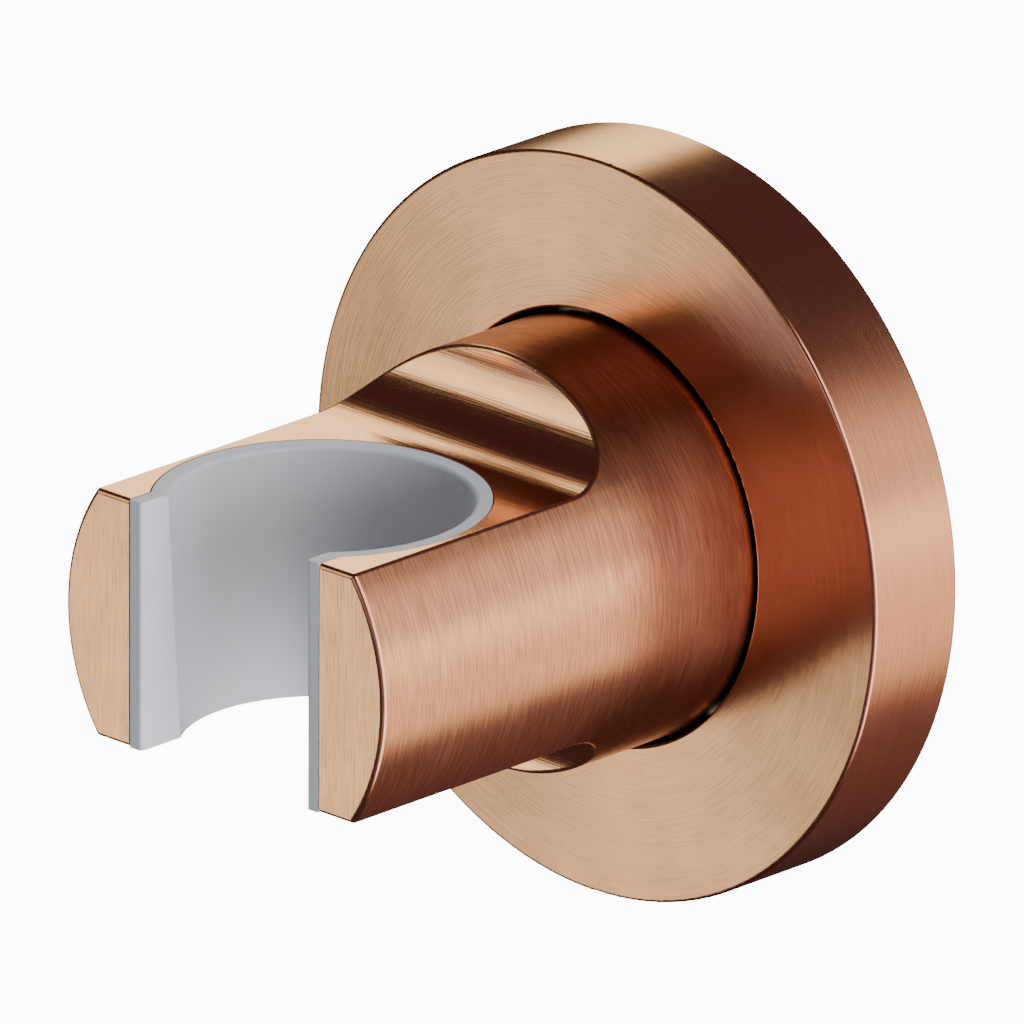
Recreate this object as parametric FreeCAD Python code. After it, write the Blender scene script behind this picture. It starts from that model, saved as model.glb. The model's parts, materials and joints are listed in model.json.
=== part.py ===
import FreeCAD, Part
import math
import os

from FreeCAD import Placement, Rotation, Vector

# Wall holder for a hand shower.
#
# A round rosette sits on the wall. A thick round arm comes out of it, square to the wall, and
# can be turned about its own axis. Its front end is milled to two flats, top and bottom, that
# run out into the round root in concave scoops. A round socket goes down through the flats and
# opens to the front by a slot, and a plastic liner gives it the cone that a hose nut sits in.
#
# Frame: the wall is the plane y = 0, the arm's axis is the Y axis and points to -Y, +Z is up.
# Millimetres. A depth is a distance from the wall along the arm, so it lies at y = -depth.

# Rosette
ROSETTE_D = 60.0
ROSETTE_DEPTH = 9.1
ROSETTE_FRONT_WALL = 2.2
ROSETTE_RIM_WALL = 3.0
ROSETTE_EDGE_R = 0.35
RING_GAP = 0.4

# Arm
ARM_D = 34.1
ARM_REACH = 49.6
FLAT_THICKNESS = 20.2
SCOOP_R = 6.2
ARM_EDGE_R = 0.4
EDGE_BREAK = 0.25

# Socket and its liner
SOCKET_D = 26.4
SOCKET_TO_FRONT = 10.6
SOCKET_TO_SCOOP = 0.1
SLOT_WIDTH = 20.4
LINER_GAP = 0.12
LINER_WIDTH_IN_SLOT = 17.7
CONE_TOP_D = 23.5
CONE_BOTTOM_D = 21.8
CONE_RIM_R = 0.45
LINER_EDGE_R = 0.3
LUG_D = 4.0
LUG_LENGTH = 1.0

# Wall plate and its fixing holes
PLATE_DEPTH = 4.0
PLATE_RIM_GAP = 0.7
FIXING_PCD = 40.0
FIXING_HOLE_D = 4.8
FIXING_HEAD_D = 9.2
FIXING_COUNT = 4
FIXING_START = 30.0

# Spigot, its screw and the washer under the screw's head
SPIGOT_D = 19.9
SPIGOT_TO_SOCKET = 3.7
TAIL_D = 11.0
TAIL_FLATS = 8.6
SCREW_D = 5.0
SCREW_LENGTH = 14.0
SCREW_HEAD_D = 9.4
SCREW_KEY = 3.0
SCREW_KEY_DEPTH = 1.8
WASHER_D = 17.6
WASHER_DEPTH = 2.1

# Rings
RING_SECTION = 1.8
RING_GROOVE_WIDTH = 2.3
REAR_RING_TO_PLATE = 4.3
FRONT_RING_TO_END = 2.2
THRUST_D = 32.8
THRUST_THICKNESS = 0.6
SEAL_WIDTH = 1.2
SEAL_DEPTH = 0.8

# Retaining screw and its pad, in the underside of the arm's root
GRUB_D = 5.0
GRUB_LENGTH = 5.5
GRUB_SUNK = 0.2
GRUB_KEY = 2.5
GRUB_KEY_DEPTH = 2.5
PAD_D = 4.2
GROOVE_FLOOR = 1.6
TURN_EACH_WAY = 90.0

# Clearances
RUNNING = 0.05
SLACK = 0.05
FREE = 0.3

# How far a cutting shape runs past what it cuts, and how near two values are when they agree
PAST = 1.0
SAME = 0.01

# What follows from them
ARM_R = ARM_D / 2
FLAT_Z = FLAT_THICKNESS / 2
ARM_HOLE_R = ARM_R + RING_GAP
CAVITY_R = ROSETTE_D / 2 - ROSETTE_RIM_WALL
SOCKET_R = SOCKET_D / 2
LINER_R = SOCKET_R - LINER_GAP
LINER_HALF_WIDTH = SLOT_WIDTH / 2 - LINER_GAP
SOCKET_DEPTH = ARM_REACH - SOCKET_TO_FRONT
ROOT_DEPTH = SOCKET_DEPTH - SOCKET_R - SOCKET_TO_SCOOP - SCOOP_R
SPIGOT_R = SPIGOT_D / 2
ARM_BORE_R = SPIGOT_R + RUNNING
SPIGOT_END = SOCKET_DEPTH - SOCKET_R - SPIGOT_TO_SOCKET
REAR_RING_DEPTH = PLATE_DEPTH + REAR_RING_TO_PLATE
FRONT_RING_DEPTH = SPIGOT_END - FRONT_RING_TO_END
FRICTION_RING_R = ARM_BORE_R - RUNNING / 2 - RING_SECTION
PLATE_RING_R = CAVITY_R - RUNNING / 2 - RING_SECTION
ARM_REAR = PLATE_DEPTH + THRUST_THICKNESS + 3 * SLACK
GRUB_DEPTH = (REAR_RING_DEPTH + FRONT_RING_DEPTH) / 2
GROOVE_WIDTH = PAD_D + 2 * FREE
GROOVE_R = SPIGOT_R - GROOVE_FLOOR
AXIS = Vector(0, -1, 0)


def turned(outline):
    """Solid of revolution about the arm's axis.

    The outline is a closed list of (radius, depth, corner radius): each corner with a radius
    is rounded by a tangent arc, as the turning tool leaves it.
    """
    corners = [Vector(r, -depth, 0) for r, depth, _ in outline]
    rounds = [corner for _, _, corner in outline]
    face = Part.Face(rounded_wire(corners, rounds))
    return face.revolve(Vector(0, 0, 0), Vector(0, 1, 0), 360)


def rounded_wire(corners, rounds):
    """Closed wire through the corners, with a tangent arc of the given radius at each."""
    arcs = []
    for i, here in enumerate(corners):
        back = (corners[i - 1] - here).normalize()
        ahead = (corners[(i + 1) % len(corners)] - here).normalize()
        if rounds[i] == 0:
            arcs.append((here, here, here))
            continue
        half = back.getAngle(ahead) / 2
        reach = rounds[i] / math.tan(half)
        centre = here + (back + ahead).normalize() * (rounds[i] / math.sin(half))
        middle = centre + (here - centre).normalize() * rounds[i]
        arcs.append((here + back * reach, middle, here + ahead * reach))
    edges = []
    for i, (start, middle, end) in enumerate(arcs):
        if (end - start).Length > SAME:
            edges.append(Part.Arc(start, middle, end).toShape())
        next_start = arcs[(i + 1) % len(arcs)][0]
        if (next_start - end).Length > SAME:
            edges.append(Part.LineSegment(end, next_start).toShape())
    return Part.Wire(edges)


def rod(radius, depth_from, depth_to):
    """Cylinder on the arm's axis between two depths."""
    start = Vector(0, -depth_from, 0)
    return Part.makeCylinder(radius, depth_to - depth_from, start, AXIS)


def upright(radius, depth, z_from, z_to, x=0.0):
    """Cylinder that stands upright at a depth."""
    return Part.makeCylinder(radius, z_to - z_from, Vector(x, -depth, z_from), Vector(0, 0, 1))


def block(x_half, depth_from, depth_to, z_from, z_to):
    """Box about the middle plane, between two depths and two heights."""
    corner = Vector(-x_half, -depth_to, z_from)
    return Part.makeBox(2 * x_half, depth_to - depth_from, z_to - z_from, corner)


def hexagon_hole(across_flats, start, direction, length):
    """Hexagon socket of a screw, cut along a direction."""
    corner_r = across_flats / math.sqrt(3)
    points = [
        Vector(corner_r * math.cos(math.radians(60 * k)), corner_r * math.sin(math.radians(60 * k)), 0)
        for k in range(7)
    ]
    prism = Part.Face(Part.makePolygon(points)).extrude(Vector(0, 0, length))
    prism.Placement = Placement(start, Rotation(Vector(0, 0, 1), direction))
    return prism


def rubber_ring(inner_r, depth):
    """Round-section ring about the arm's axis, which sits on a groove's floor."""
    middle_r = inner_r + RING_SECTION / 2
    return Part.makeTorus(middle_r, RING_SECTION / 2, Vector(0, -depth, 0), AXIS)


def ring_groove(inner_r, outer_r, depth):
    """What a ring groove takes out of a turned piece."""
    half = RING_GROOVE_WIDTH / 2
    return rod(outer_r, depth - half, depth + half).cut(rod(inner_r, depth - half, depth + half))


def rosette():
    """Thick turned cover, open at the back, with the arm's hole in its face."""
    r = ROSETTE_D / 2
    inside = ROSETTE_DEPTH - ROSETTE_FRONT_WALL
    cover = turned([
        (ARM_HOLE_R, ROSETTE_DEPTH, EDGE_BREAK),
        (r, ROSETTE_DEPTH, ROSETTE_EDGE_R),
        (r, 0, EDGE_BREAK),
        (CAVITY_R, 0, EDGE_BREAK),
        (CAVITY_R, inside, ROSETTE_EDGE_R),
        (ARM_HOLE_R, inside, EDGE_BREAK),
    ])
    return cover.cut(seal_ring())


def seal_ring():
    """Square-section ring in the middle of the rosette's back edge."""
    middle_r = (ROSETTE_D / 2 + CAVITY_R) / 2
    outer = rod(middle_r + SEAL_WIDTH / 2, 0, SEAL_DEPTH)
    return outer.cut(rod(middle_r - SEAL_WIDTH / 2, 0, SEAL_DEPTH))


def side_profile():
    """What the mill leaves of the bar, seen from the side: two flats that end in scoops."""
    beyond = ARM_R + PAST
    top = max(beyond, FLAT_Z + SCOOP_R)
    corners = [
        (ARM_REACH, -FLAT_Z, 0),
        (ARM_REACH, FLAT_Z, 0),
        (ROOT_DEPTH, FLAT_Z, SCOOP_R),
        (ROOT_DEPTH, top, 0),
        (ARM_REAR, top, 0),
        (ARM_REAR, -top, 0),
        (ROOT_DEPTH, -top, 0),
        (ROOT_DEPTH, -FLAT_Z, SCOOP_R),
    ]
    points = [Vector(-beyond, -depth, z) for depth, z, _ in corners]
    wire = rounded_wire(points, [corner for _, _, corner in corners])
    return Part.Face(wire).extrude(Vector(2 * beyond, 0, 0))


def is_line(edge):
    """True for a straight edge."""
    return edge.Curve.TypeId == "Part::GeomLine"


def is_seam(edge):
    """True for the line along which the round bar closes on itself."""
    return is_line(edge) and abs(edge.CenterOfMass.z) < SAME


def outer_edges(bar):
    """Edges that a hand meets: all but those that reach the hidden rear end."""
    return [e for e in bar.Edges if e.BoundBox.YMax < -ROSETTE_DEPTH and not is_seam(e)]


def socket_cut():
    """Round socket down through the flats and the slot from it to the front."""
    high = ARM_D
    bore = upright(SOCKET_R, SOCKET_DEPTH, -high, high)
    slot = block(SLOT_WIDTH / 2, SOCKET_DEPTH, ARM_REACH + SOCKET_R, -high, high)
    return bore.fuse(slot)


def liner_lug(radius, length):
    """Round lug at the back of the liner, or the pocket that it clicks into."""
    start = SOCKET_DEPTH - SOCKET_R - length
    return rod(radius, start, SOCKET_DEPTH - SOCKET_R + 2 * LINER_GAP + SLACK)


def grub_hole():
    """Hole for the retaining screw and its pad, from the underside of the root to the bore."""
    hole_r = GRUB_D / 2 + SLACK
    thread = upright(hole_r, GRUB_DEPTH, -ARM_R - PAST, 0)
    low = Vector(0, -GRUB_DEPTH, -ARM_R - PAST + mouth_sag())
    mouth = Part.makeCone(hole_r + PAST + EDGE_BREAK, hole_r, PAST + EDGE_BREAK, low)
    return thread.fuse(mouth)


def mouth_sag():
    """How much higher the round bar is at the screw hole's side than in its middle."""
    return ARM_R - math.sqrt(ARM_R**2 - (GRUB_D / 2) ** 2)


def arm_body():
    """Turned bar, milled to two flats, with its socket, rear bore and retaining screw hole."""
    bar = rod(ARM_R, ARM_REAR, ARM_REACH).common(side_profile())
    bar = bar.makeFillet(ARM_EDGE_R, outer_edges(bar))
    bar = bar.cut(socket_cut())
    bore = turned([
        (0, ARM_REAR - PAST, 0),
        (ARM_BORE_R + PAST + EDGE_BREAK, ARM_REAR - PAST, 0),
        (ARM_BORE_R, ARM_REAR + EDGE_BREAK, 0),
        (ARM_BORE_R, SPIGOT_END + FREE, EDGE_BREAK),
        (0, SPIGOT_END + FREE, 0),
    ])
    bar = bar.cut(bore).cut(liner_lug(LUG_D / 2 + SLACK, LUG_LENGTH + SLACK))
    return bar.cut(grub_hole())


def liner_plan():
    """Outside of the liner: a disc in the socket and two lips in the slot."""
    disc = upright(LINER_R, SOCKET_DEPTH, -FLAT_Z, FLAT_Z)
    lips = block(LINER_HALF_WIDTH, SOCKET_DEPTH, ARM_REACH + SOCKET_R, -FLAT_Z, FLAT_Z)
    behind_front = block(ARM_D, SOCKET_DEPTH - ARM_D, ARM_REACH, -FLAT_Z, FLAT_Z)
    return disc.fuse(lips).common(behind_front).removeSplitter()


def cone_liner():
    """Moulded liner: conical bore, open front between two lips, lug at the back."""
    slope = (CONE_TOP_D - CONE_BOTTOM_D) / 2 / FLAT_THICKNESS
    cone = Part.makeCone(
        CONE_BOTTOM_D / 2 - slope * PAST,
        CONE_TOP_D / 2 + slope * PAST,
        FLAT_THICKNESS + 2 * PAST,
        Vector(0, -SOCKET_DEPTH, -FLAT_Z - PAST),
    )
    slot = block(LINER_WIDTH_IN_SLOT / 2, SOCKET_DEPTH, ARM_REACH + SOCKET_R, -ARM_D, ARM_D)
    liner = liner_plan().cut(cone.fuse(slot))
    liner = liner.makeFillet(LINER_EDGE_R, lip_edges(liner))
    liner = liner.makeFillet(CONE_RIM_R, rim_edges(liner))
    lug = liner_lug(LUG_D / 2, LUG_LENGTH)
    hollow = upright(CONE_BOTTOM_D / 2, SOCKET_DEPTH, -LUG_D, LUG_D)
    return liner.fuse(lug.cut(hollow)).removeSplitter()


def lip_edges(liner):
    """Upright inner edges at the liner's front, where the hose passes."""
    lines = [e for e in liner.Edges if is_line(e) and e.BoundBox.ZLength > FLAT_Z]
    at_front = [e for e in lines if abs(e.CenterOfMass.y + ARM_REACH) < SAME]
    return [e for e in at_front if abs(abs(e.CenterOfMass.x) - LINER_WIDTH_IN_SLOT / 2) < SAME]


def rim_edges(liner):
    """Top edge of the cone."""
    circles = [e for e in liner.Edges if e.Curve.TypeId == "Part::GeomCircle"]
    at_top = [e for e in circles if abs(e.BoundBox.ZMin - FLAT_Z) < SAME]
    return [e for e in at_top if abs(e.Curve.Radius - CONE_TOP_D / 2) < SAME]


def spigot_tail(diameter, flats, depth_from, depth_to):
    """Round tail with two flats, which keeps the spigot from turning in the plate."""
    round_tail = rod(diameter / 2, depth_from, depth_to)
    return round_tail.common(block(flats / 2, depth_from, depth_to, -diameter, diameter))


def countersink(hole_d, head_d, depth, x, z, deeper):
    """Hole and 90 degree countersink for a flat-headed screw.

    The head is at the given depth, and the screw points away from it, deeper into the wall or
    further out along the arm.
    """
    way = -1 if deeper else 1
    head_h = (head_d - hole_d) / 2
    start = Vector(x, -depth, z)
    cone = Part.makeCone(head_d / 2, hole_d / 2, head_h, start, AXIS * way)
    shank = Part.makeCylinder(hole_d / 2, 2 * PLATE_DEPTH, start, AXIS * way)
    return cone.fuse(shank)


def wall_plate():
    """Turned disc on the wall, with fixing holes, the spigot's seat and a groove in its rim."""
    r = CAVITY_R - PLATE_RIM_GAP
    plate = turned([
        (0, PLATE_DEPTH, 0),
        (r, PLATE_DEPTH, EDGE_BREAK),
        (r, 0, EDGE_BREAK),
        (0, 0, 0),
    ])
    plate = plate.cut(ring_groove(PLATE_RING_R, r + PAST, PLATE_DEPTH / 2))
    plate = plate.cut(rod(WASHER_D / 2 + SLACK, 0, WASHER_DEPTH + SLACK))
    plate = plate.cut(spigot_tail(TAIL_D + 2 * SLACK, TAIL_FLATS + 2 * SLACK, 0, PLATE_DEPTH))
    for k in range(FIXING_COUNT):
        angle = math.radians(FIXING_START) + 2 * math.pi * k / FIXING_COUNT
        x = FIXING_PCD / 2 * math.cos(angle)
        z = FIXING_PCD / 2 * math.sin(angle)
        plate = plate.cut(countersink(FIXING_HOLE_D, FIXING_HEAD_D, PLATE_DEPTH, x, z, True))
    return plate


def spigot_washer():
    """Thick washer in the back of the plate, countersunk for the screw."""
    washer = rod(WASHER_D / 2, 0, WASHER_DEPTH)
    return washer.cut(countersink(SCREW_D + 2 * SLACK, SCREW_HEAD_D + 2 * SLACK, 0, 0, 0, False))


def spigot_screw():
    """Countersunk screw from behind, through the washer into the spigot."""
    head_h = (SCREW_HEAD_D - SCREW_D) / 2
    screw = turned([
        (0, 0, 0),
        (SCREW_HEAD_D / 2, 0, 0),
        (SCREW_D / 2, head_h, 0),
        (SCREW_D / 2, SCREW_LENGTH - EDGE_BREAK, 0),
        (SCREW_D / 2 - EDGE_BREAK, SCREW_LENGTH, 0),
        (0, SCREW_LENGTH, 0),
    ])
    return screw.cut(hexagon_hole(SCREW_KEY, Vector(0, 0, 0), AXIS, SCREW_KEY_DEPTH))


def spigot():
    """Turned post that the arm turns on."""
    post = turned([
        (0, PLATE_DEPTH, 0),
        (SPIGOT_R, PLATE_DEPTH, 0),
        (SPIGOT_R, SPIGOT_END, 2 * EDGE_BREAK),
        (0, SPIGOT_END, 0),
    ])
    tail = spigot_tail(TAIL_D, TAIL_FLATS, WASHER_DEPTH + 2 * SLACK, PLATE_DEPTH + SLACK)
    post = post.fuse(tail).removeSplitter()
    post = post.cut(rod(SCREW_D / 2 + SLACK, 0, SCREW_LENGTH + PAST))
    for depth in (REAR_RING_DEPTH, FRONT_RING_DEPTH):
        post = post.cut(ring_groove(FRICTION_RING_R, SPIGOT_R + PAST, depth))
    return post.cut(turn_groove())


def turn_groove():
    """Groove round the lower half of the spigot, as an end mill cuts it.

    The retaining screw's pad runs in it, and its two round ends stop the arm.
    """
    half = GROOVE_WIDTH / 2
    corner = Vector(GROOVE_R, -GRUB_DEPTH - half, 0)
    section = Part.makePlane(GROOVE_FLOOR + PAST, GROOVE_WIDTH, corner)
    sweep = section.revolve(Vector(0, 0, 0), Vector(0, 1, 0), 2 * TURN_EACH_WAY)
    sweep.rotate(Vector(0, 0, 0), Vector(0, 1, 0), 90 - TURN_EACH_WAY)
    groove = sweep
    for side in (-1, 1):
        angle = math.radians(-90 + side * TURN_EACH_WAY)
        outward = Vector(math.cos(angle), 0, math.sin(angle))
        start = Vector(0, -GRUB_DEPTH, 0) + outward * GROOVE_R
        groove = groove.fuse(Part.makeCylinder(half, GROOVE_FLOOR + PAST, start, outward))
    return groove


def arm_grub_screw():
    """Socket set screw in the arm's underside."""
    foot = -ARM_R + GRUB_SUNK + mouth_sag()
    r = GRUB_D / 2
    start = Vector(0, -GRUB_DEPTH, foot)
    body = Part.makeCylinder(r, GRUB_LENGTH, start, Vector(0, 0, 1))
    body = body.makeChamfer(EDGE_BREAK, [e for e in body.Edges if not is_line(e)])
    return body.cut(hexagon_hole(GRUB_KEY, start, Vector(0, 0, 1), GRUB_KEY_DEPTH))


def grub_pad():
    """Nylon pad between the set screw and the floor of the groove."""
    low = -ARM_R + GRUB_SUNK + mouth_sag() + GRUB_LENGTH + SLACK
    high = -GROOVE_R - FREE
    return upright(PAD_D / 2, GRUB_DEPTH, low, high)


def thrust_washer():
    """Plain plastic washer between the plate and the arm's rear face."""
    start = PLATE_DEPTH + SLACK
    washer = rod(THRUST_D / 2, start, start + THRUST_THICKNESS)
    return washer.cut(rod(ARM_BORE_R + SLACK, start, start + THRUST_THICKNESS))


def build():
    """Every piece of the holder, by node name."""
    return {
        "arm_body": arm_body(),
        "cone_liner": cone_liner(),
        "rosette": rosette(),
        "rosette_seal": seal_ring(),
        "wall_plate": wall_plate(),
        "plate_ring": rubber_ring(PLATE_RING_R, PLATE_DEPTH / 2),
        "spigot": spigot(),
        "spigot_washer": spigot_washer(),
        "spigot_screw": spigot_screw(),
        "rear_friction_ring": rubber_ring(FRICTION_RING_R, REAR_RING_DEPTH),
        "front_friction_ring": rubber_ring(FRICTION_RING_R, FRONT_RING_DEPTH),
        "thrust_washer": thrust_washer(),
        "arm_grub_screw": arm_grub_screw(),
        "grub_pad": grub_pad(),
    }


def main():
    """Writes one STEP file per piece."""
    os.makedirs("parts", exist_ok=True)
    for name, shape in build().items():
        box = shape.BoundBox
        print(f"{name}: valid {shape.isValid()}, {len(shape.Solids)} solid, {shape.Volume:.1f} mm3, "
              f"y {box.YMin:.2f} to {box.YMax:.2f}, z {box.ZMin:.2f} to {box.ZMax:.2f}")
        shape.exportStep(f"parts/{name}.step")


main()
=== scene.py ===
"""Looks of the hand shower holder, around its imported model.

It is laid out as an add-on: two property groups hold the colours, the grain of the finishes and the
camera's place, one operator dresses each group of like pieces, one makes the stage, and a panel lists
them.
"""

import json
import math

import bpy
from bpy.props import FloatProperty, FloatVectorProperty, PointerProperty
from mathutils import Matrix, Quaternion, Vector

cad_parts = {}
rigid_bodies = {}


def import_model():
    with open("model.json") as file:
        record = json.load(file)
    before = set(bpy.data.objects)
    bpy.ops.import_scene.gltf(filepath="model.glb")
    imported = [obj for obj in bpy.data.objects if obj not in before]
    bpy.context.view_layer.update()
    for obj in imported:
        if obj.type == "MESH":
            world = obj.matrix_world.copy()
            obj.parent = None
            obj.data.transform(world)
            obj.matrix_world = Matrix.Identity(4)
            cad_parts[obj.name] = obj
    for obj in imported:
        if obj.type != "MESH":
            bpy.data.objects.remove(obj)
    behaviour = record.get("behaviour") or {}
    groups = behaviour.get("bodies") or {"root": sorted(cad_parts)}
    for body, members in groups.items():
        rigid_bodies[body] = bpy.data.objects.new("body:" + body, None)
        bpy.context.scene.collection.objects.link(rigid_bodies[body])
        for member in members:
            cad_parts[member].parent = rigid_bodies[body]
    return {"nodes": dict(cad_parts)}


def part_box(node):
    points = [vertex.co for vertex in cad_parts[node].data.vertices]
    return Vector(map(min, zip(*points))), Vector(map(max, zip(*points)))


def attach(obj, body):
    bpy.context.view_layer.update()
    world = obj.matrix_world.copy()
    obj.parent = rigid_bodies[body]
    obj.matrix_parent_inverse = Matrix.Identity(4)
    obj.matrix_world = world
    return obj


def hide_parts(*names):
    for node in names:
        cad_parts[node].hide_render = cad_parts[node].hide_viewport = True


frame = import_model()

bl_info = {
    "name": "Hand shower holder",
    "version": (1, 0, 0),
    "blender": (4, 5, 0),
    "location": "3D View > Sidebar > Holder",
    "description": "Finishes of a wall holder for a hand shower, and the studio around it",
    "category": "Add Mesh",
}

MM = 0.001

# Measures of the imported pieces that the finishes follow, in metres
ARM_LOW, ARM_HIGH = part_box("arm_body")
ROSETTE_LOW, ROSETTE_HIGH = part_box("rosette")
ARM_R = ARM_HIGH.x
ARM_FRONT = ARM_LOW.y
# The liner ends level with the arm's flats
FLAT_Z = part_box("cone_liner")[1].z
ROSETTE_R = ROSETTE_HIGH.x
ROSETTE_FACE = ROSETTE_LOW.y
# Radius of the rosette's front edge, in mm
ROSETTE_EDGE = 0.35

# Brushed lines: how much of them is a broader second set, and how dense that set is
BROAD_SHARE = 0.15
BROAD_DENSITY = 0.3
# Nearly all of the lines' noise lies between these values
LINES_LOW, LINES_HIGH = 0.38, 0.62
# Clouds in the roughness: how many there are to a millimetre, their noise's range, and their effect
CLOUD_DENSITY = 0.2
CLOUD_LOW, CLOUD_HIGH = 0.3, 0.7
CLOUD_EFFECT = 0.06
# Painted shade on the metal behind a plane: how bright its dark colour is beside the finish, and over how
# many mm the finish turns into it
PAINTED_SHADE_SHARE = 0.08
PAINTED_SHADE_BORDER = 0.3
# Turns the spread of a reflection across the lines
QUARTER_TURN = 0.25

# Moulded texture: how dense the mottling is beside the grain, and its effect on the roughness
MOTTLE_DENSITY = 0.12
MOTTLE_EFFECT = 0.1


def linear(hexes):
    """Linear colour of an sRGB hex value."""
    parts = [int(hexes[k:k + 2], 16) / 255 for k in (1, 3, 5)]
    return [p / 12.92 if p <= 0.04045 else ((p + 0.055) / 1.055) ** 2.4 for p in parts]


def times(colour, factor):
    """The colour made lighter or darker, and opaque."""
    return (*[min(c * factor, 1) for c in colour], 1)


def deselect_all():
    """Leaves nothing selected, because operators act on all that is."""
    for thing in bpy.context.scene.objects:
        thing.select_set(False)


def add(tree, kind, links=None, **settings):
    """Adds a shader node. Settings are its options, and links gives its inputs values or sockets."""
    made = tree.nodes.new(kind)
    for name, value in settings.items():
        setattr(made, name, value)
    for socket, value in (links or {}).items():
        if isinstance(value, bpy.types.NodeSocket):
            tree.links.new(value, made.inputs[socket])
        else:
            made.inputs[socket].default_value = value
    return made


def new_material(name):
    """Empty node material with its output, as (material, tree, output)."""
    made = bpy.data.materials.new(name)
    made.use_nodes = True
    tree = made.node_tree
    tree.nodes.clear()
    return made, tree, add(tree, "ShaderNodeOutputMaterial")


def in_mm(tree):
    """Object coordinates in millimetres."""
    place = add(tree, "ShaderNodeTexCoord")
    return add(
        tree, "ShaderNodeVectorMath", {0: place.outputs["Object"], "Scale": 1 / MM}, operation="SCALE"
    ).outputs[0]


def turned_grain(tree, place, streak, line):
    """Pattern coordinates for lines round the arm's axis, and the way the lines run."""
    flat = add(tree, "ShaderNodeVectorMath", {0: place, 1: (1, 0, 1)}, operation="MULTIPLY").outputs[0]
    radius = add(tree, "ShaderNodeVectorMath", {0: flat}, operation="LENGTH").outputs["Value"]
    way_out = add(tree, "ShaderNodeVectorMath", {0: flat}, operation="NORMALIZE").outputs[0]
    parts = add(tree, "ShaderNodeSeparateXYZ", {0: place})
    across = add(tree, "ShaderNodeMath", {0: radius, 1: parts.outputs["Y"]}, operation="ADD").outputs[0]
    fine = add(tree, "ShaderNodeMath", {0: across, 1: 1 / line}, operation="MULTIPLY").outputs[0]
    # A streak has its full length at the rosette's rim, and is shorter nearer the axis
    turns = ROSETTE_R / MM / streak
    slow = add(tree, "ShaderNodeVectorMath", {0: way_out, "Scale": turns}, operation="SCALE").outputs[0]
    ends = add(tree, "ShaderNodeSeparateXYZ", {0: slow})
    pattern = add(
        tree, "ShaderNodeCombineXYZ", {0: ends.outputs["X"], 1: fine, 2: ends.outputs["Z"]}
    ).outputs[0]
    way = add(tree, "ShaderNodeVectorMath", {0: flat, 1: (0, 1, 0)}, operation="CROSS_PRODUCT").outputs[0]
    return pattern, way


def straight_grain(tree, place, streak, line, way):
    """Pattern coordinates for lines along one axis, and that axis."""
    scale = [1 / streak if part else 1 / line for part in way]
    pattern = add(tree, "ShaderNodeVectorMath", {0: place, 1: scale}, operation="MULTIPLY").outputs[0]
    axis = add(tree, "ShaderNodeCombineXYZ", dict(enumerate(way))).outputs[0]
    return pattern, axis


def edge_normal(tree, place):
    """Normal of the rosette's rounded front edge, worked out from its radius so that the highlight on
    it is one clean line. Away from the edge it is the mesh's own normal."""
    flat = add(tree, "ShaderNodeVectorMath", {0: place, 1: (1, 0, 1)}, operation="MULTIPLY").outputs[0]
    radius = add(tree, "ShaderNodeVectorMath", {0: flat}, operation="LENGTH").outputs["Value"]
    way_out = add(tree, "ShaderNodeVectorMath", {0: flat}, operation="NORMALIZE").outputs[0]
    depth = add(tree, "ShaderNodeSeparateXYZ", {0: place}).outputs["Y"]
    rim, face = ROSETTE_R / MM, ROSETTE_FACE / MM
    # How far a point lies past the circle on which the edge's arcs are centred, outwards and forwards
    out = add(tree, "ShaderNodeMath", {0: radius, 1: rim - ROSETTE_EDGE}, operation="SUBTRACT").outputs[0]
    out = add(tree, "ShaderNodeMath", {0: out, 1: 0}, operation="MAXIMUM").outputs[0]
    ahead = add(tree, "ShaderNodeMath", {0: depth, 1: face + ROSETTE_EDGE}, operation="SUBTRACT").outputs[0]
    ahead = add(tree, "ShaderNodeMath", {0: ahead, 1: 0}, operation="MINIMUM").outputs[0]
    side = add(tree, "ShaderNodeVectorMath", {0: way_out, "Scale": out}, operation="SCALE").outputs[0]
    front = add(tree, "ShaderNodeCombineXYZ", {1: ahead}).outputs[0]
    both = add(tree, "ShaderNodeVectorMath", {0: side, 1: front}, operation="ADD").outputs[0]
    world = add(
        tree, "ShaderNodeVectorTransform", {0: both}, vector_type="NORMAL",
        convert_from="OBJECT", convert_to="WORLD",
    ).outputs[0]
    # The edge is where both are true: near the rim and near the front face
    outer = add(
        tree, "ShaderNodeMath", {0: radius, 1: rim - 2 * ROSETTE_EDGE}, operation="GREATER_THAN"
    ).outputs[0]
    near = add(
        tree, "ShaderNodeMath", {0: depth, 1: face + 2 * ROSETTE_EDGE}, operation="LESS_THAN"
    ).outputs[0]
    edge = add(tree, "ShaderNodeMath", {0: outer, 1: near}, operation="MULTIPLY").outputs[0]
    own = add(tree, "ShaderNodeNewGeometry").outputs["Normal"]
    return add(tree, "ShaderNodeMix", {0: edge, 4: own, 5: world}, data_type="VECTOR").outputs[1]


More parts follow.
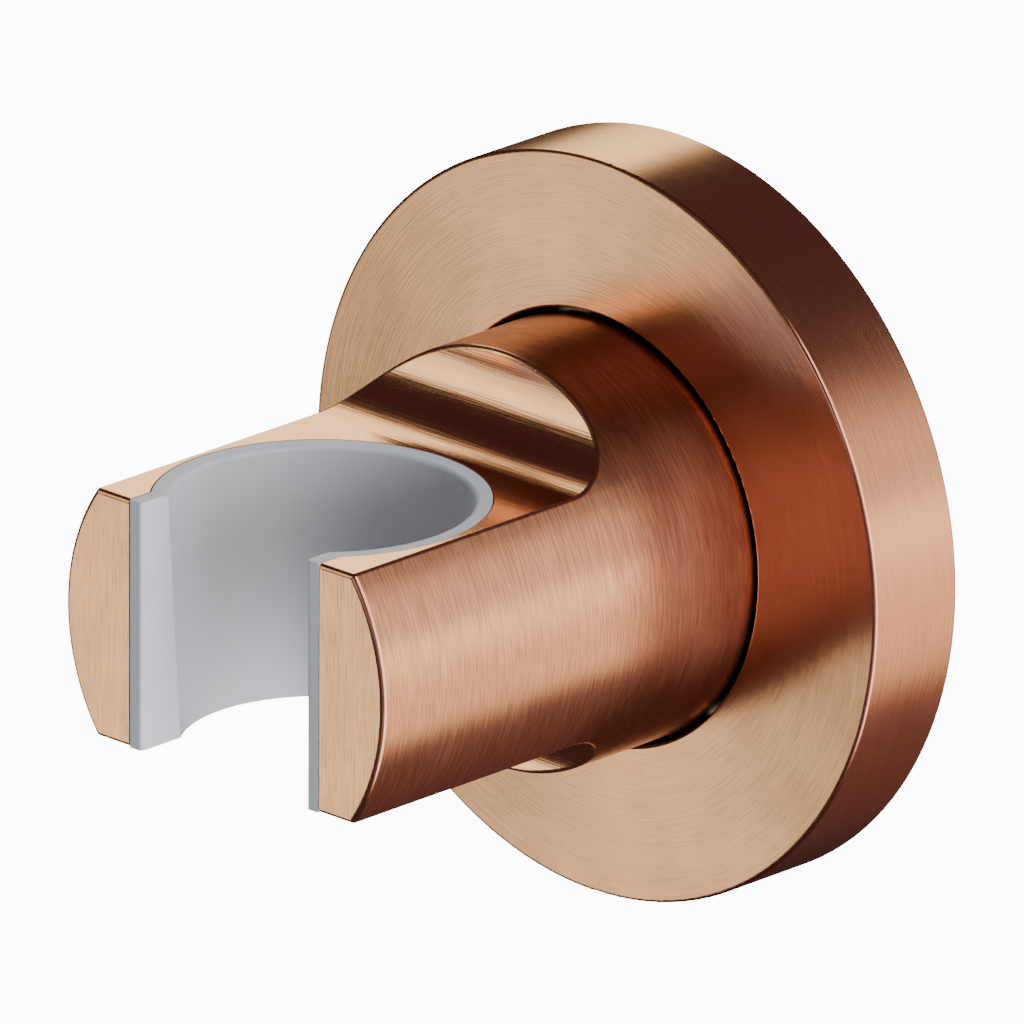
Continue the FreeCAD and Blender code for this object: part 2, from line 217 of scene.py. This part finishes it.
def lined_metal(name, colour, grain, way=None, painted_shade_from=None, rounded=False):
    """Metal with fine lines, which run round the arm's axis or along a way, and with painted shade, a dark
    colour, behind the plane y = painted_shade_from, in mm.

    The grain gives the eye fine lines, and it spreads each reflection across itself. The real lines
    are a few hundredths of a millimetre apart, and these are drawn coarser, so that they show.
    """
    line, streak, depth, contrast, roughness, spread = grain
    made, tree, output = new_material(name)
    place = in_mm(tree)
    if way is None:
        pattern, along = turned_grain(tree, place, streak, line)
    else:
        pattern, along = straight_grain(tree, place, streak, line, way)
    lines = add(tree, "ShaderNodeTexNoise", {"Vector": pattern, "Scale": 1, "Detail": 1}).outputs["Fac"]
    broad = add(
        tree, "ShaderNodeTexNoise", {"Vector": pattern, "Scale": BROAD_DENSITY, "Detail": 1}
    ).outputs["Fac"]
    both = add(tree, "ShaderNodeMix", {0: BROAD_SHARE, 2: lines, 3: broad}, data_type="FLOAT").outputs[0]
    cloud = add(
        tree, "ShaderNodeTexNoise", {"Vector": place, "Scale": CLOUD_DENSITY, "Detail": 1}
    ).outputs["Fac"]
    rough = add(
        tree,
        "ShaderNodeMapRange",
        {
            0: cloud,
            "From Min": CLOUD_LOW,
            "From Max": CLOUD_HIGH,
            "To Min": roughness * (1 - CLOUD_EFFECT),
            "To Max": roughness * (1 + CLOUD_EFFECT),
        },
    ).outputs[0]
    light = times(colour, 1 + contrast / 2)
    deep = times(colour, 1 - contrast / 2)
    shade = add(
        tree, "ShaderNodeMapRange", {0: both, "From Min": LINES_LOW, "From Max": LINES_HIGH}
    ).outputs[0]
    shade = add(tree, "ShaderNodeMix", {0: shade, 6: deep, 7: light}, data_type="RGBA").outputs[2]
    if painted_shade_from is not None:
        back = add(tree, "ShaderNodeSeparateXYZ", {0: place}).outputs["Y"]
        inside = add(
            tree, "ShaderNodeMapRange", {0: back, "From Min": painted_shade_from, "From Max": painted_shade_from + PAINTED_SHADE_BORDER}
        ).outputs[0]
        # Painted shade: the finish's colour cut to a small share, standing in for the shadow in the gap
        # round the arm
        painted_dark = times(colour, PAINTED_SHADE_SHARE)
        shade = add(tree, "ShaderNodeMix", {0: inside, 6: shade, 7: painted_dark}, data_type="RGBA").outputs[2]
    relief = add(tree, "ShaderNodeBump", {"Strength": 1.0, "Distance": depth * MM, "Height": both})
    if rounded:
        tree.links.new(edge_normal(tree, place), relief.inputs["Normal"])
    tangent = add(
        tree, "ShaderNodeVectorTransform", {0: along}, vector_type="VECTOR",
        convert_from="OBJECT", convert_to="WORLD",
    ).outputs[0]
    metal = add(
        tree,
        "ShaderNodeBsdfPrincipled",
        {
            "Base Color": shade,
            "Metallic": 1.0,
            "Roughness": rough,
            "Anisotropic": spread,
            "Anisotropic Rotation": QUARTER_TURN,
            "Normal": relief.outputs[0],
            "Tangent": tangent,
        },
    )
    tree.links.new(metal.outputs[0], output.inputs["Surface"])
    return made


def brushed_copper(kind, way=None, painted_shade_from=None, rounded=False):
    """Brass, brushed and coated in copper: a warm, satin metal with dark reds in its reflections."""
    look = bpy.context.scene.holder_finish
    values = getattr(look, kind)
    return lined_metal("brushed_copper_" + kind, look.copper, values, way, painted_shade_from, rounded)


def soft_material(name, colour, roughness, ior, grain, depth, mottle):
    """Plastic or rubber with a fine moulded texture: grain and depth are in millimetres, and mottle is
    how far its colour varies."""
    made, tree, output = new_material(name)
    place = in_mm(tree)
    fine = add(
        tree, "ShaderNodeTexNoise", {"Vector": place, "Scale": 1 / grain, "Detail": 1}
    ).outputs["Fac"]
    broad = add(
        tree, "ShaderNodeTexNoise", {"Vector": place, "Scale": MOTTLE_DENSITY / grain, "Detail": 1}
    ).outputs["Fac"]
    deep, light = times(colour, 1 - mottle), times(colour, 1)
    shade = add(tree, "ShaderNodeMix", {0: broad, 6: deep, 7: light}, data_type="RGBA").outputs[2]
    rough = add(
        tree,
        "ShaderNodeMapRange",
        {0: broad, "To Min": roughness * (1 - MOTTLE_EFFECT), "To Max": roughness * (1 + MOTTLE_EFFECT)},
    ).outputs[0]
    relief = add(
        tree, "ShaderNodeBump", {"Strength": 1.0, "Distance": depth * MM, "Height": fine}
    ).outputs[0]
    body = add(
        tree,
        "ShaderNodeBsdfPrincipled",
        {"Base Color": shade, "Roughness": rough, "IOR": ior, "Normal": relief},
    )
    tree.links.new(body.outputs[0], output.inputs["Surface"])
    return made


def liner_plastic():
    """Acetal, injection moulded with a fine satin texture: soft broad highlights, no lines."""
    colour = bpy.context.scene.holder_finish.liner
    return soft_material(
        "satin_acetal", colour, roughness=0.4, ior=1.48, grain=0.16, depth=0.002, mottle=0.03
    )


def grain(where, line, streak, depth, contrast, roughness, spread):
    """Property with the six values of one surface's brushed lines."""
    return FloatVectorProperty(
        name=where,
        description=(
            "Brushed lines: spacing, length and depth in mm, how far light and dark lines differ, "
            "roughness, and how far the grain spreads a reflection"
        ),
        size=6, default=(line, streak, depth, contrast, roughness, spread), min=0.0, precision=3,
    )


class HolderStage(bpy.types.PropertyGroup):
    """Where the camera stands, and the floor and backdrop that it sees."""

    azimuth: FloatProperty(
        name="Azimuth", description="How far the camera stands round to the right",
        default=math.radians(44.08), subtype="ANGLE",
    )
    elevation: FloatProperty(
        name="Elevation", description="How high the camera stands",
        default=math.radians(19.99), subtype="ANGLE",
    )
    roll: FloatProperty(
        name="Roll", description="How far the camera is turned to the left about its view",
        default=math.radians(0.28), subtype="ANGLE",
    )
    distance: FloatProperty(
        name="Distance", description="From the wall behind the holder to the camera",
        default=2.317, min=0, unit="LENGTH",
    )
    aside: FloatProperty(
        name="Aside", description="How far the camera is moved to the left, across its view",
        default=12.60 * MM, unit="LENGTH",
    )
    down: FloatProperty(
        name="Down", description="How far the camera is moved down, across its view",
        default=1.10 * MM, unit="LENGTH",
    )
    lens: FloatProperty(name="Lens", description="Focal length", default=1053.4, min=1, unit="CAMERA")
    floor: FloatProperty(
        name="Floor", description="Height of the floor", default=-0.25, unit="LENGTH",
    )
    white: FloatProperty(
        name="White", description="How bright the camera sees the floor and the backdrop",
        default=12.0, min=0,
    )


class HolderFinish(bpy.types.PropertyGroup):
    """Colours and grain of the holder's finishes."""

    copper: FloatVectorProperty(
        name="Copper", description="Colour of the brushed finish", subtype="COLOR",
        default=linear("#F2B092"), min=0, max=1,
    )
    liner: FloatVectorProperty(
        name="Liner", description="Colour of the liner's plastic", subtype="COLOR",
        default=linear("#C5C9CE"), min=0, max=1,
    )
    rosette: grain("Rosette", 0.13, 5.0, 0.014, 0.12, 0.25, 0.6)
    arm: grain("Arm", 0.1, 5.0, 0.006, 0.44, 0.25, 0.5)
    fronts: grain("Arm's front faces", 0.14, 3.0, 0.01, 0.16, 0.2, 0.5)
    flats: grain("Flats", 0.16, 6.0, 0.008, 0.06, 0.12, 0.5)
    scoops: grain("Scoops", 0.16, 6.0, 0.014, 0.1, 0.17, 0.6)
    steel: FloatVectorProperty(
        name="Steel", description="Colour of the plate and the screws", subtype="COLOR",
        default=linear("#BBC0C9"), min=0, max=1,
    )
    brass: FloatVectorProperty(
        name="Brass", description="Colour of the spigot", subtype="COLOR",
        default=linear("#DCB772"), min=0, max=1,
    )
    turned: grain("Turned pieces inside", 0.12, 6.0, 0.008, 0.12, 0.22, 0.4)
    screws: grain("Screws", 0.12, 6.0, 0.003, 0.06, 0.22, 0.0)
    rubber: FloatVectorProperty(
        name="Rubber", description="Colour of the rings", subtype="COLOR",
        default=linear("#252629"), min=0, max=1,
    )
    seal: FloatVectorProperty(
        name="Seal", description="Colour of the ring at the rosette's back", subtype="COLOR",
        default=linear("#696D71"), min=0, max=1,
    )
    slide: FloatVectorProperty(
        name="Sliding plastic", description="Colour of the washer and the pad", subtype="COLOR",
        default=linear("#E8E5DA"), min=0, max=1,
    )


class HOLDER_OT_metal(bpy.types.Operator):
    """Gives the arm and the rosette their brushed finish"""

    bl_idname = "holder.metal"
    bl_label = "Brushed metal"

    def execute(self, context):
        frame["nodes"]["rosette"].data.materials[0] = brushed_copper("rosette", rounded=True)
        # The arm's root inside the rosette gets painted shade, a near-black colour, so that the gap round it
        # looks black
        turned = brushed_copper("arm", painted_shade_from=ROSETTE_FACE / MM)
        fronts = brushed_copper("fronts", (0, 0, 1))
        flats = brushed_copper("flats", (1, 0, 0))
        scoops = brushed_copper("scoops", (1, 0, 0))
        arm = own_copy(frame["nodes"]["arm_body"], "arm")
        arm.data.materials.clear()
        for finish in (turned, fronts, flats, scoops):
            arm.data.materials.append(finish)
        for face in arm.data.polygons:
            face.material_index = arm_finish(arm.data, face)
        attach(arm, "arm")
        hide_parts("arm_body")
        return {"FINISHED"}


def own_copy(node, name):
    """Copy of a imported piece, with its true normals, whose faces may take several finishes."""
    copy = node.copy()
    copy.data = node.data.copy()
    copy.name = name
    copy.parent = None
    for key in list(copy.keys()):
        del copy[key]
    bpy.context.scene.collection.objects.link(copy)
    return copy


def arm_finish(mesh, face):
    """Which finish a face of the arm has: 0 turned, 1 fronts, 2 flats, 3 scoops."""
    near = 0.02 * MM
    nearly_none, nearly_one = 0.02, 0.999
    corners = [mesh.vertices[k].co for k in face.vertices]
    if all(c.y < ARM_FRONT + near for c in corners):
        return 1
    round_bar = all(math.hypot(c.x, c.z) > ARM_R - near for c in corners)
    milled = abs(face.normal.x) < nearly_none and all(abs(c.z) > FLAT_Z - near for c in corners)
    if round_bar or not milled:
        return 0
    return 2 if abs(face.normal.z) > nearly_one else 3


def dress(names, material):
    """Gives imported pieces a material."""
    for name in names:
        frame["nodes"][name].data.materials[0] = material


class HOLDER_OT_liner(bpy.types.Operator):
    """Gives the liner its satin plastic"""

    bl_idname = "holder.liner"
    bl_label = "Liner"

    def execute(self, context):
        dress(["cone_liner"], liner_plastic())
        return {"FINISHED"}


class HOLDER_OT_mechanism(bpy.types.Operator):
    """Gives the plate, the spigot and their screws and washer their metals"""

    bl_idname = "holder.mechanism"
    bl_label = "Plate, spigot and screws"

    def execute(self, context):
        look = context.scene.holder_finish
        # Stainless steel, turned: a cool grey with rings that catch the light
        steel = lined_metal("turned_stainless_steel", look.steel, look.turned)
        dress(["wall_plate", "spigot_washer"], steel)
        # Brass, turned and left bare: yellow, with the same fine rings
        dress(["spigot"], lined_metal("turned_brass", look.brass, look.turned))
        # Stainless steel screws: smoother than the turned pieces, with faint marks across
        screw = lined_metal("stainless_steel_screw", look.steel, look.screws, (1, 0, 0))
        dress(["spigot_screw", "arm_grub_screw"], screw)
        return {"FINISHED"}


class HOLDER_OT_soft(bpy.types.Operator):
    """Gives the rings, the seal, the thrust washer and the pad their rubber and plastic"""

    bl_idname = "holder.soft"
    bl_label = "Rings, seal and washer"

    def execute(self, context):
        look = context.scene.holder_finish
        # Nitrile rubber, moulded: nearly black, with a dull shine
        rubber = soft_material(
            "nitrile_rubber", look.rubber, roughness=0.55, ior=1.52, grain=0.1, depth=0.006, mottle=0.15
        )
        dress(["front_friction_ring", "rear_friction_ring", "plate_ring"], rubber)
        # EPDM rubber, cut from soft sheet: mid grey and quite matt
        seal = soft_material(
            "epdm_rubber", look.seal, roughness=0.75, ior=1.5, grain=0.08, depth=0.012, mottle=0.12
        )
        dress(["rosette_seal"], seal)
        # Natural acetal, punched and turned: milky white, with a waxy shine
        slide = soft_material(
            "natural_acetal", look.slide, roughness=0.38, ior=1.48, grain=0.2, depth=0.003, mottle=0.04
        )
        dress(["thrust_washer", "grub_pad"], slide)
        return {"FINISHED"}


def soft_box(name, azimuth, elevation, wide, tall, level, tint, soft=0.3, lean=0, mirrored=True):
    """Rectangular light on a 1 m sphere that faces the holder. Wide and tall are the angles that it
    fills as seen from there and lean is its tilt to the right, in degrees, level is its brightness, and
    soft is the share of each side over which it fades to nothing at the edges. One that isn't mirrored
    lights only what isn't metal."""
    lamp = bpy.data.lights.new(name, "AREA")
    lamp.shape = "RECTANGLE"
    lamp.size = 2 * math.tan(math.radians(wide / 2))
    lamp.size_y = 2 * math.tan(math.radians(tall / 2))
    lamp.energy = 4 * level * lamp.size * lamp.size_y
    lamp.color = linear(tint)
    lamp.use_nodes = True
    tree = lamp.node_tree
    tree.nodes.clear()
    place = add(tree, "ShaderNodeNewGeometry").outputs["Parametric"]
    middle = add(tree, "ShaderNodeVectorMath", {0: place, 1: (0.5, 0.5, 0)}, operation="SUBTRACT").outputs[0]
    away = add(tree, "ShaderNodeVectorMath", {0: middle}, operation="ABSOLUTE").outputs[0]
    sides = add(tree, "ShaderNodeSeparateXYZ", {0: away})
    fades = [
        add(
            tree,
            "ShaderNodeMapRange",
            {0: sides.outputs[side], "From Min": 0.5 - soft, "From Max": 0.5, "To Min": 1, "To Max": 0},
            interpolation_type="SMOOTHSTEP",
        ).outputs[0]
        for side in ("X", "Y")
    ]
    fade = add(tree, "ShaderNodeMath", {0: fades[0], 1: fades[1]}, operation="MULTIPLY").outputs[0]
    glow = add(tree, "ShaderNodeEmission", {"Strength": fade})
    add(tree, "ShaderNodeOutputLight", {"Surface": glow.outputs[0]})
    made = bpy.data.objects.new(name, lamp)
    way = towards(azimuth, elevation)
    made.location = way
    made.rotation_mode = "QUATERNION"
    made.rotation_quaternion = way.to_track_quat("Z", "Y") @ Quaternion((0, 0, 1), -math.radians(lean))
    made.visible_camera = False
    made.visible_glossy = mirrored
    bpy.context.scene.collection.objects.link(made)
    return made


def towards(azimuth, elevation):
    """Direction from the holder: azimuth 0 is straight in front, 90 is to the right."""
    turn, rise = math.radians(azimuth), math.radians(elevation)
    return Vector((math.sin(turn) * math.cos(rise), -math.cos(turn) * math.cos(rise), math.sin(rise)))


class HOLDER_OT_stage(bpy.types.Operator):
    """Makes the floor, the lights and the camera"""

    bl_idname = "holder.stage"
    bl_label = "Stage"

    def execute(self, context):
        deselect_all()
        make_floor()
        make_world()
        make_lights()
        make_camera()
        return {"FINISHED"}


def make_floor():
    """Wide pale floor, well below the holder, that the camera sees evenly lit."""
    stage = bpy.context.scene.holder_stage
    bpy.ops.mesh.primitive_plane_add(size=2.8, location=(0, 0, stage.floor))
    floor = bpy.context.object
    floor.name = "floor"
    made, tree, output = new_material("pale_floor")
    glow = add(tree, "ShaderNodeEmission", {"Color": (1, 1, 1, 1), "Strength": stage.white})
    tree.links.new(glow.outputs[0], output.inputs["Surface"])
    floor.data.materials.append(made)
    floor.visible_glossy = False
    floor.visible_diffuse = False
    floor.visible_shadow = False


def make_world():
    """Dim warm surround, which the camera sees as the same pale backdrop as the floor."""
    world = bpy.data.worlds.new("surround")
    bpy.context.scene.world = world
    world.use_nodes = True
    tree = world.node_tree
    tree.nodes.clear()
    seen = add(tree, "ShaderNodeLightPath").outputs["Is Camera Ray"]
    dim = add(tree, "ShaderNodeBackground", {"Color": (*linear("#FEB7BB"), 1), "Strength": 0.05})
    white = bpy.context.scene.holder_stage.white
    pale = add(tree, "ShaderNodeBackground", {"Color": (1, 1, 1, 1), "Strength": white})
    both = add(tree, "ShaderNodeMixShader", {0: seen, 1: dim.outputs[0], 2: pale.outputs[0]})
    add(tree, "ShaderNodeOutputWorld", {"Surface": both.outputs[0]})


def make_lights():
    """Soft boxes all round the holder, with dark between them, above and below."""
    # A broad one from the right, for the sides of the arm and of the rosette's rim
    soft_box("right", 92, 0, 54, 118, 2.6, "#FEF1E5", 0.15)
    # From behind the wall's plane: the round of the arm and of the rim mirror these, and the flats
    # and a part of the scoops mirror the last one
    soft_box("back_right", 132, -17, 32, 50, 1.12, "#FEE8BB", 0.22)
    soft_box("back_right_high", 132, 10, 30, 56, 0.96, "#FEEDCB", 0.4)
    soft_box("back_low", 165, -44, 76, 26, 0.08, "#FEB7A7", 0.3)
    soft_box("back_high", -178, 46, 64, 26, 0.035, "#FECFDF", 0.3)
    soft_box("back_left", -129, 27, 25, 46, 1.85, "#FEFCC7", 0.25, lean=31)
    # The arm's front faces and the rosette's face mirror these
    low = soft_box("front_left_low", -44, -26, 12, 26, 2.0, "#F9FED7", 0.2)
    high = soft_box("front_left_high", -44, 12, 11, 40, 2.1, "#F7FED3", 0.2)
    strip = soft_box("front_left", -42, -12, 12, 78, 1.7, "#F3FED7", 0.3)
    # Dim ones, which keep the dark parts of the metal from going black
    soft_box("front_right", 38, -12, 44, 80, 0.175, "#F7E3FE", 0.3)
    soft_box("front_top", -14, 46, 36, 24, 0.13, "#FEE3E3", 0.3)
    # Only for the metal, where it shows from straight in front
    front = soft_box("front", -2, 7, 36, 12, 1.1, "#FEFEFE", 0.3)
    front.visible_diffuse = False
    # Only for what isn't metal, which is the liner
    soft_box("fill_right", 72, -8, 30, 60, 8.6, "#E5EFFE", 0.2, mirrored=False)
    soft_box("fill_left", -42, -22, 24, 34, 2.7, "#E7F0FE", 0.2, mirrored=False)
    soft_box("fill_top", 90, 82, 60, 60, 2.1, "#D9E7FE", 0.2, mirrored=False)
    # The wide rosette mirrors one whole strip, and the arm the same strip with a dark bar across it
    for lamp, state in ((low, "EXCLUDE"), (high, "EXCLUDE"), (strip, "INCLUDE")):
        lit = bpy.data.collections.new(lamp.name + "_on")
        lit.objects.link(frame["nodes"]["rosette"])
        lit.collection_objects[0].light_linking.link_state = state
        lamp.light_linking.receiver_collection = lit


def make_camera():
    """Long lens, turned and raised as the photograph's."""
    stage = bpy.context.scene.holder_stage
    lens = bpy.data.cameras.new("camera")
    lens.lens = stage.lens
    lens.sensor_width = 36
    lens.clip_end = 10
    made = bpy.data.objects.new("camera", lens)
    back = towards(math.degrees(stage.azimuth), math.degrees(stage.elevation))
    right = (-back).cross(Vector((0, 0, 1))).normalized()
    up = right.cross(-back)
    made.location = back * stage.distance - right * stage.aside - up * stage.down
    made.rotation_mode = "QUATERNION"
    made.rotation_quaternion = back.to_track_quat("Z", "Y") @ Quaternion((0, 0, 1), stage.roll)
    bpy.context.scene.collection.objects.link(made)
    bpy.context.scene.camera = made


class HOLDER_PT_panel(bpy.types.Panel):
    """Lists the holder's pieces and finishes"""

    bl_idname = "HOLDER_PT_panel"
    bl_label = "Hand shower holder"
    bl_space_type = "VIEW_3D"
    bl_region_type = "UI"
    bl_category = "Holder"

    def draw(self, context):
        for group in (context.scene.holder_finish, context.scene.holder_stage):
            for name in group.bl_rna.properties.keys():
                if name not in ("rna_type", "name"):
                    self.layout.prop(group, name)
        for operator in OPERATORS:
            self.layout.operator(operator.bl_idname)


OPERATORS = (HOLDER_OT_metal, HOLDER_OT_liner, HOLDER_OT_mechanism, HOLDER_OT_soft, HOLDER_OT_stage)
CLASSES = (HolderStage, HolderFinish, *OPERATORS, HOLDER_PT_panel)


def register():
    """Adds the classes and the scene's properties."""
    for kind in CLASSES:
        bpy.utils.register_class(kind)
    bpy.types.Scene.holder_stage = PointerProperty(type=HolderStage)
    bpy.types.Scene.holder_finish = PointerProperty(type=HolderFinish)


def unregister():
    """Takes them away again."""
    del bpy.types.Scene.holder_finish
    del bpy.types.Scene.holder_stage
    for kind in reversed(CLASSES):
        bpy.utils.unregister_class(kind)


def main():
    """Makes every piece and the stage."""
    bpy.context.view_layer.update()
    register()
    deselect_all()
    bpy.ops.holder.metal()
    bpy.ops.holder.liner()
    bpy.ops.holder.mechanism()
    bpy.ops.holder.soft()
    bpy.ops.holder.stage()


if __name__ == "__main__":
    main()
